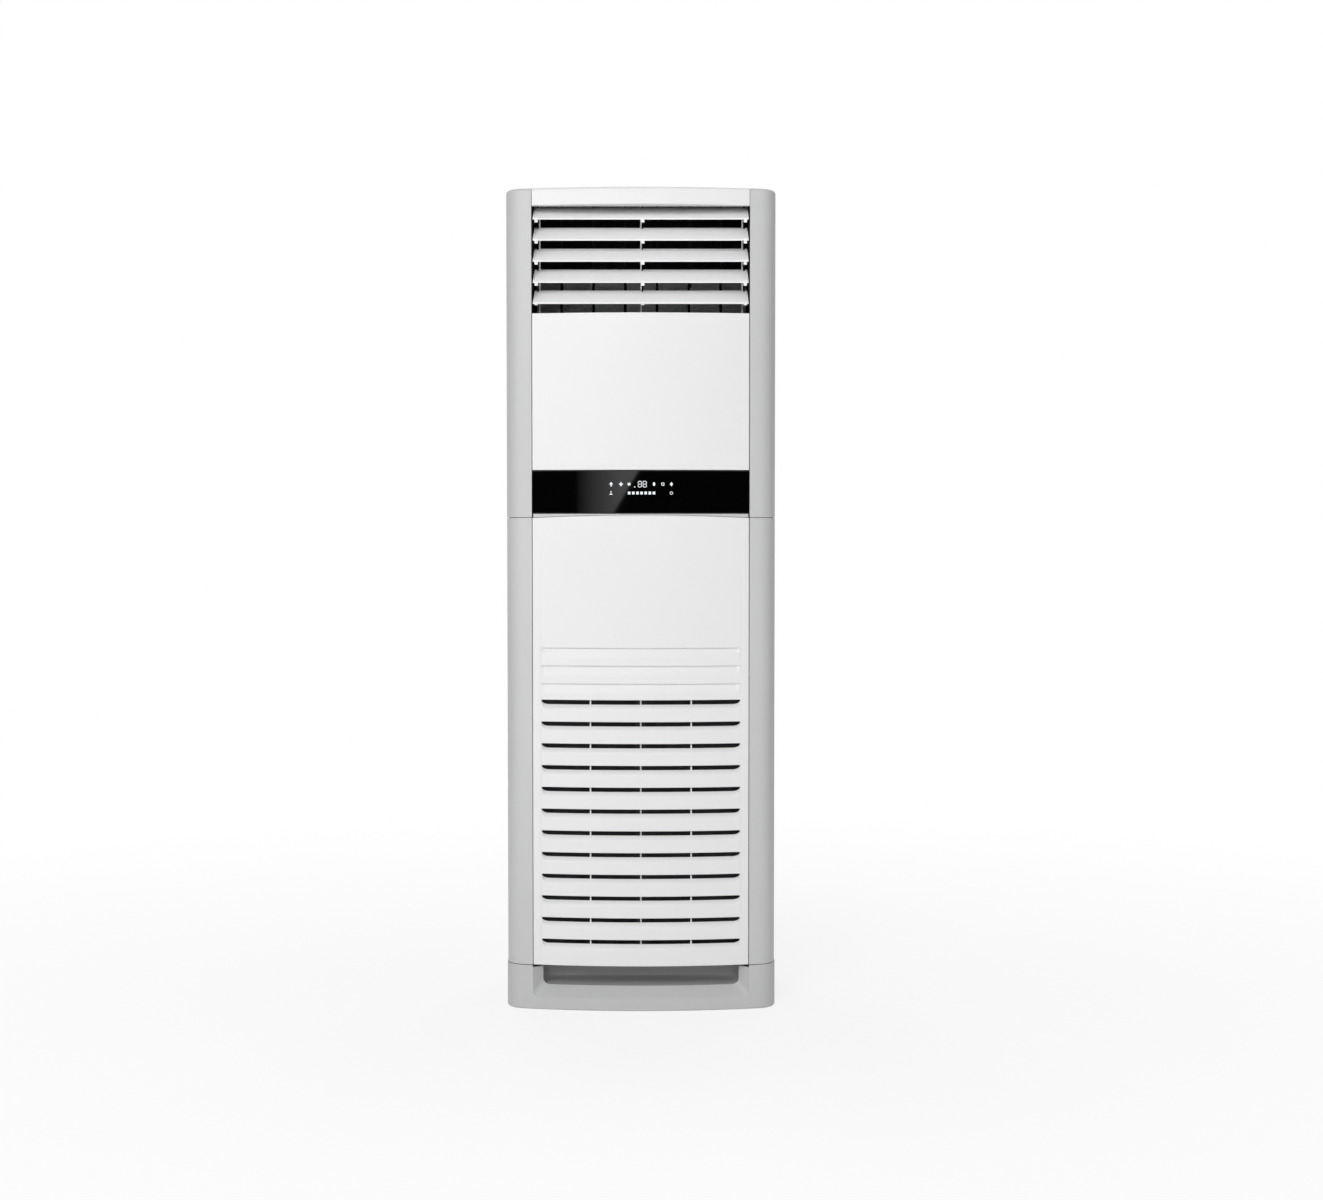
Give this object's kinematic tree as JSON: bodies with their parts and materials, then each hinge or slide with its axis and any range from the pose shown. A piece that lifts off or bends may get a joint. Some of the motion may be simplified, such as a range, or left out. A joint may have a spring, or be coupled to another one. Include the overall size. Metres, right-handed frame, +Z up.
{
  "type": "floor standing air conditioner",
  "caption": "Tall floor standing air conditioner with a bowed slotted intake panel, a dark display band and tilting outlet blades over swinging vanes, around a blower and a slanted coil.",
  "frame": {"origin": "on the floor under the middle of the cabinet's bounding box", "axes": "+Z up, the front faces -Y, +X is the viewer's right when facing the front"},
  "size_m": [0.603, 0.37, 1.825],
  "materials": {
    "column_silver": "satin silver grey",
    "panel_white": "satin white",
    "display_black": "gloss black",
    "louver_white": "satin white",
    "duct_black": "matt black",
    "cabinet_sheet": "satin grey paint",
    "zinc_sheet": "zinc coated",
    "filter_frame_plastic": "matt dark grey",
    "filter_net": "fine dark net",
    "foam": "dark foam",
    "coil_aluminium": "thin bare fins",
    "copper": "bare copper",
    "brass_nut": "machined brass",
    "steel": "bright steel",
    "motor_steel": "grey paint",
    "board_green": "green laminate",
    "terminal_plastic": "ivory",
    "grommet_rubber": "black rubber"
  },
  "bodies": {
    "cabinet": {"lower_column_left": "column_silver", "lower_column_right": "column_silver", "upper_column_left": "column_silver", "upper_column_right": "column_silver", "plinth": "column_silver", "upper_panel": "panel_white", "top_bar": "panel_white", "display_window": "display_black", "pivot_strips": "louver_white", "outlet_duct": "duct_black", "inlet_ring": "duct_black", "side_panel_left": "cabinet_sheet", "side_panel_right": "cabinet_sheet", "rear_panel": "cabinet_sheet", "top_cover": "cabinet_sheet", "base_pan": "zinc_sheet", "shelf": "zinc_sheet", "front_baffle": "zinc_sheet", "scroll_housing": "zinc_sheet", "cross_beam": "zinc_sheet", "control_box": "zinc_sheet", "control_box_cover": "zinc_sheet", "motor_bracket": "zinc_sheet", "drain_pan": "zinc_sheet", "coil_plates": "zinc_sheet", "filter_frame": "filter_frame_plastic", "panel_catches": "filter_frame_plastic", "rear_liner": "foam", "coil_fins": "coil_aluminium", "coil_bends": "copper", "gas_pipe": "copper", "liquid_pipe": "copper", "flare_nuts": "brass_nut", "cabinet_screws": "steel", "blower_motor": "motor_steel", "vane_motor": "motor_steel", "run_capacitor": "motor_steel", "control_board": "board_green", "display_board": "board_green", "terminal_block": "terminal_plastic", "pipe_grommet": "grommet_rubber", "cable_grommet": "grommet_rubber"},
    "louver_1": {"louver_1": "louver_white"},
    "louver_2": {"louver_2": "louver_white"},
    "louver_3": {"louver_3": "louver_white"},
    "louver_4": {"louver_4": "louver_white"},
    "louver_5": {"louver_5": "louver_white"},
    "louver_link": {"louver_link": "duct_black"},
    "vane_1": {"vane_1": "duct_black"},
    "vane_2": {"vane_2": "duct_black"},
    "vane_3": {"vane_3": "duct_black"},
    "vane_4": {"vane_4": "duct_black"},
    "vane_5": {"vane_5": "duct_black"},
    "vane_6": {"vane_6": "duct_black"},
    "vane_link": {"vane_link": "duct_black"},
    "blower": {"blower_wheel": "duct_black", "motor_shaft": "steel"},
    "intake_panel": {"intake_panel": "panel_white"},
    "filter_left": {"filter_left": "filter_net"},
    "filter_right": {"filter_right": "filter_net"}
  },
  "joints": [
    {"name": "louver_tilt", "type": "hinge", "parent": "cabinet", "child": "louver_1", "pos_m": [0, -0.09331, 1.61288], "axis": [1, 0, 0], "range_deg": [-15, 18]},
    {"name": "louver_2_tilt", "type": "hinge", "parent": "cabinet", "child": "louver_2", "pos_m": [0, -0.09331, 1.65928], "axis": [1, 0, 0], "range_deg": [-15, 18]},
    {"name": "louver_3_tilt", "type": "hinge", "parent": "cabinet", "child": "louver_3", "pos_m": [0, -0.09331, 1.70568], "axis": [1, 0, 0], "range_deg": [-15, 18]},
    {"name": "louver_4_tilt", "type": "hinge", "parent": "cabinet", "child": "louver_4", "pos_m": [0, -0.09331, 1.75208], "axis": [1, 0, 0], "range_deg": [-15, 18]},
    {"name": "louver_5_tilt", "type": "hinge", "parent": "cabinet", "child": "louver_5", "pos_m": [0, -0.09331, 1.79848], "axis": [1, 0, 0], "range_deg": [-15, 18]},
    {"name": "louver_link_pivot", "type": "hinge", "parent": "louver_1", "child": "louver_link", "pos_m": [0.112, -0.08328, 1.61946], "axis": [1, 0, 0], "range_deg": [-18, 15]},
    {"name": "vane_swing", "type": "hinge", "parent": "cabinet", "child": "vane_1", "pos_m": [-0.18, -0.04, 1.68], "axis": [0, 0, 1], "range_deg": [-35, 35]},
    {"name": "vane_2_swing", "type": "hinge", "parent": "cabinet", "child": "vane_2", "pos_m": [-0.108, -0.04, 1.68], "axis": [0, 0, 1], "range_deg": [-35, 35]},
    {"name": "vane_3_swing", "type": "hinge", "parent": "cabinet", "child": "vane_3", "pos_m": [-0.036, -0.04, 1.68], "axis": [0, 0, 1], "range_deg": [-35, 35]},
    {"name": "vane_4_swing", "type": "hinge", "parent": "cabinet", "child": "vane_4", "pos_m": [0.036, -0.04, 1.68], "axis": [0, 0, 1], "range_deg": [-35, 35]},
    {"name": "vane_5_swing", "type": "hinge", "parent": "cabinet", "child": "vane_5", "pos_m": [0.108, -0.04, 1.68], "axis": [0, 0, 1], "range_deg": [-35, 35]},
    {"name": "vane_6_swing", "type": "hinge", "parent": "cabinet", "child": "vane_6", "pos_m": [0.18, -0.04, 1.68], "axis": [0, 0, 1], "range_deg": [-35, 35]},
    {"name": "vane_link_pivot", "type": "hinge", "parent": "vane_1", "child": "vane_link", "pos_m": [-0.18, -0.02, 1.808], "axis": [0, 0, 1], "range_deg": [-35, 35]},
    {"name": "blower_spin", "type": "hinge", "parent": "cabinet", "child": "blower", "pos_m": [-0.04, 0.02, 0.4], "axis": [0, 1, 0], "continuous": true},
    {"name": "intake_panel_tilt", "type": "hinge", "parent": "cabinet", "child": "intake_panel", "pos_m": [0, -0.1545, 0.1062], "axis": [1, 0, 0], "range_deg": [0, 25]},
    {"name": "filter_left_lift", "type": "slide", "parent": "cabinet", "child": "filter_left", "axis": [0, 0, 1], "range_m": [0, 0.02]},
    {"name": "filter_right_lift", "type": "slide", "parent": "cabinet", "child": "filter_right", "axis": [0, 0, 1], "range_m": [0, 0.02]}
  ],
  "couplings": [
    {"joint": "louver_2_tilt", "follows": "louver_tilt", "ratio": 1},
    {"joint": "louver_3_tilt", "follows": "louver_tilt", "ratio": 1},
    {"joint": "louver_4_tilt", "follows": "louver_tilt", "ratio": 1},
    {"joint": "louver_5_tilt", "follows": "louver_tilt", "ratio": 1},
    {"joint": "louver_link_pivot", "follows": "louver_tilt", "ratio": -1},
    {"joint": "vane_2_swing", "follows": "vane_swing", "ratio": 1},
    {"joint": "vane_3_swing", "follows": "vane_swing", "ratio": 1},
    {"joint": "vane_4_swing", "follows": "vane_swing", "ratio": 1},
    {"joint": "vane_5_swing", "follows": "vane_swing", "ratio": 1},
    {"joint": "vane_6_swing", "follows": "vane_swing", "ratio": 1},
    {"joint": "vane_link_pivot", "follows": "vane_swing", "ratio": -1}
  ]
}
